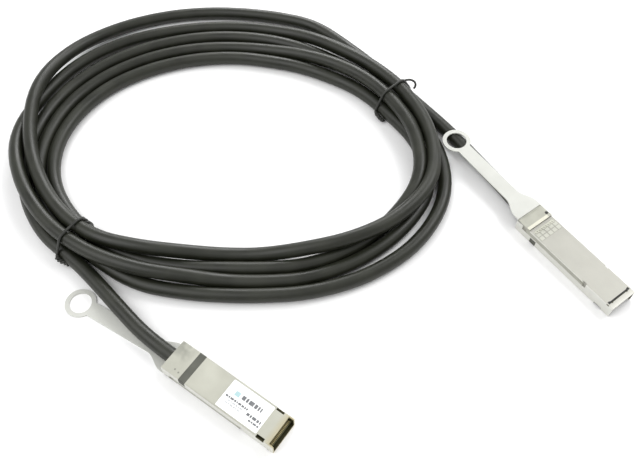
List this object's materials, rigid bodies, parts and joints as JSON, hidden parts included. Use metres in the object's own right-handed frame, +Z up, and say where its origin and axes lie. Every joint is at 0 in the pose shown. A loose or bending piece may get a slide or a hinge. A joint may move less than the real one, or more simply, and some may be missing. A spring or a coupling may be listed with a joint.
{
  "type": "direct attach copper cable",
  "caption": "Round charcoal cable laid in a tied oval hank, with a flat pluggable metal connector and a translucent looped pull tab on each end.",
  "frame": {"origin": "on the floor, on the flat resting face of the far plug between its gasket and its label", "axes": "+Z up; +X to the right along the long way of the hank as the viewer faces the near plug; +Y away from the viewer"},
  "size_m": [0.3689, 0.3194, 0.019],
  "materials": {
    "shell_metal": "satin nickel plate on a die casting",
    "card_laminate": "solder mask with gold pads",
    "wire_insulation": "foil wrapped pairs",
    "crimp_copper": "drawn",
    "gasket_elastomer": "matt, filled",
    "spring_steel": "stamped",
    "screw_steel": "plain",
    "tab_plastic": "milky, slightly see-through",
    "label_film": "satin film",
    "cable_jacket": "matt extruded",
    "tie_plastic": "matt"
  },
  "bodies": {
    "cable_assembly": {"near_shell_base": "shell_metal", "near_shell_cover": "shell_metal", "near_paddle_card": "card_laminate", "near_wire_bundle": "wire_insulation", "near_crimp_ferrule": "crimp_copper", "near_emi_band": "gasket_elastomer", "near_emi_clip": "spring_steel", "near_return_spring_left": "spring_steel", "near_return_spring_right": "spring_steel", "near_shell_screw_left": "screw_steel", "near_shell_screw_right": "screw_steel", "near_label_plate": "label_film", "far_shell_base": "shell_metal", "far_shell_cover": "shell_metal", "far_paddle_card": "card_laminate", "far_wire_bundle": "wire_insulation", "far_crimp_ferrule": "crimp_copper", "far_emi_band": "gasket_elastomer", "far_emi_clip": "spring_steel", "far_return_spring_left": "spring_steel", "far_return_spring_right": "spring_steel", "far_shell_screw_left": "screw_steel", "far_shell_screw_right": "screw_steel", "cable_coil": "cable_jacket", "near_lead": "cable_jacket", "far_lead": "cable_jacket", "twist_tie_1": "tie_plastic", "twist_tie_2": "tie_plastic"},
    "near_release": {"near_release_slider": "spring_steel", "near_pull_tab": "tab_plastic"},
    "far_release": {"far_release_slider": "spring_steel", "far_pull_tab": "tab_plastic"}
  },
  "joints": [
    {"name": "near_release_slide", "type": "slide", "parent": "cable_assembly", "child": "near_release", "axis": [-0.815, 0.5792, 0.0148], "range_m": [0, 0.0025], "stiffness_N_per_m": 1500, "springref_m": -0.001, "deforming": ["near_return_spring_left", "near_return_spring_right"]},
    {"name": "far_release_slide", "type": "slide", "parent": "cable_assembly", "child": "far_release", "axis": [-0.5948, 0.8039, 0], "range_m": [0, 0.0025], "stiffness_N_per_m": 1500, "springref_m": -0.001, "deforming": ["far_return_spring_left", "far_return_spring_right"]}
  ]
}
